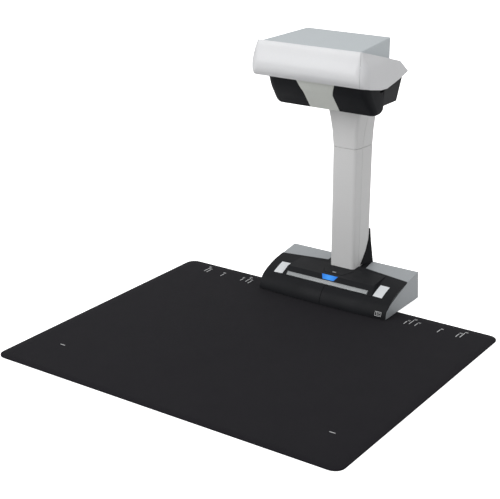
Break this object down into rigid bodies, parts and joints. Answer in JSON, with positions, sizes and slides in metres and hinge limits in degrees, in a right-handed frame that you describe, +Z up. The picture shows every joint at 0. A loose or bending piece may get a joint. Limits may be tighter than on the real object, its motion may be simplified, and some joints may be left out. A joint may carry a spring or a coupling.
{
  "type": "overhead book scanner",
  "caption": "Overhead scanner on a slim column, with a turning scan unit under its hood, a low base with a control deck, and a dark background mat.",
  "frame": {"origin": "middle of the whole footprint, scanner and mat, on the table top", "axes": "+Z up, +X to the reader's right and square to the plane of symmetry, -Y towards the reader"},
  "size_m": [0.516, 0.4845, 0.3828],
  "materials": {
    "silver_grey_plastic": "fine metallic silver-grey paint on ABS, satin",
    "charcoal_plastic": "charcoal ABS with fine spark-eroded texture",
    "button_silver": "brushed-look warm grey paint, satin",
    "component_black": "moulded black component bodies",
    "circuit_board": "green solder mask with tinned pads",
    "blue_light": "translucent blue light guide, lit",
    "calibration_white": "matt white reference sheet",
    "rubber": "soft black rubber",
    "zinc_steel": "zinc-plated sheet steel",
    "screw_steel": "bright plated steel",
    "mat_black": "dark non-reflecting coated cloth",
    "column_white": "pearl light-grey paint on ABS, satin",
    "harness_jacket": "woven black sleeve",
    "hood_silver": "metallic silver paint, satin",
    "visor_white": "pearl white paint on ABS, satin",
    "bronze": "sintered bronze",
    "gear_nylon": "natural acetal",
    "band_silver": "warm silver-grey paint, satin",
    "window_glass": "coated optical glass",
    "lamp_clear": "clear moulded lens",
    "diode_yellow": "phosphor-coated light diodes"
  },
  "bodies": {
    "scanner": {"axle_bushes": "bronze", "ballast_plate": "zinc_steel", "base_shell": "silver_grey_plastic", "bottom_plate": "charcoal_plastic", "calibration_patch_left": "calibration_white", "calibration_patch_right": "calibration_white", "collar_front_shell": "column_white", "collar_rear_shell": "column_white", "column_frame": "zinc_steel", "column_front_shell": "column_white", "column_harness": "harness_jacket", "column_rear_shell": "column_white", "console_panel": "charcoal_plastic", "control_board": "circuit_board", "deck_cover": "charcoal_plastic", "drive_motor": "zinc_steel", "frame_screws": "screw_steel", "head_board": "circuit_board", "head_chassis": "zinc_steel", "head_rear_deck": "visor_white", "hood_top_cover": "hood_silver", "idler_pin": "screw_steel", "main_board": "circuit_board", "power_light_guide": "blue_light", "power_socket": "component_black", "rear_gusset": "charcoal_plastic", "rubber_feet": "rubber", "scan_switches": "component_black", "stop_switch": "component_black", "stop_switch_board": "circuit_board", "underside_housing": "charcoal_plastic", "usb_socket": "zinc_steel", "visor_front_panel": "visor_white", "visor_wing_left": "visor_white", "visor_wing_right": "visor_white"},
    "scan_head": {"scan_unit_shell": "charcoal_plastic", "scan_unit_band": "band_silver", "lens_window": "window_glass", "lamp_lens_left": "lamp_clear", "lamp_lens_right": "lamp_clear", "lamp_board_left": "circuit_board", "lamp_board_right": "circuit_board", "lamp_diodes_left": "diode_yellow", "lamp_diodes_right": "diode_yellow", "scan_frame": "zinc_steel", "scan_axles": "screw_steel", "scan_gear": "gear_nylon", "optics_block": "component_black", "lens_barrel": "component_black", "lens_elements": "window_glass", "sensor_board": "circuit_board", "line_sensor": "component_black"},
    "idler": {"idler_gear": "gear_nylon"},
    "pinion": {"motor_pinion": "gear_nylon"},
    "scan_bar": {"scan_bar_button": "button_silver"},
    "stop_key": {"stop_button": "charcoal_plastic"},
    "mat": {"background_mat": "mat_black"}
  },
  "joints": [
    {"name": "scan_sweep", "type": "hinge", "parent": "scanner", "child": "scan_head", "pos_m": [0, 0.145, 0.338], "axis": [-1, 0, 0], "range_deg": [0, 50]},
    {"name": "idler_turn", "type": "hinge", "parent": "scanner", "child": "idler", "pos_m": [0.068, 0.16816, 0.34208], "axis": [-1, 0, 0], "range_deg": [-170, 0]},
    {"name": "pinion_turn", "type": "hinge", "parent": "scanner", "child": "pinion", "pos_m": [0.07, 0.1823, 0.33392], "axis": [-1, 0, 0], "range_deg": [0, 340]},
    {"name": "scan_bar_press", "type": "slide", "parent": "scanner", "child": "scan_bar", "axis": [0, 0.7771, -0.6293], "range_m": [0, 0.0012], "stiffness_N_per_m": 2500, "springref_m": -0.0008},
    {"name": "stop_key_press", "type": "slide", "parent": "scanner", "child": "stop_key", "axis": [0, 0, -1], "range_m": [0, 0.0008], "stiffness_N_per_m": 2500, "springref_m": -0.0008},
    {"name": "mat_slide", "type": "slide", "parent": "scanner", "child": "mat", "axis": [0, -1, 0], "range_m": [0, 0.05]}
  ],
  "couplings": [
    {"joint": "idler_turn", "follows": "scan_sweep", "ratio": -3.3333},
    {"joint": "pinion_turn", "follows": "scan_sweep", "ratio": 6.6667}
  ]
}
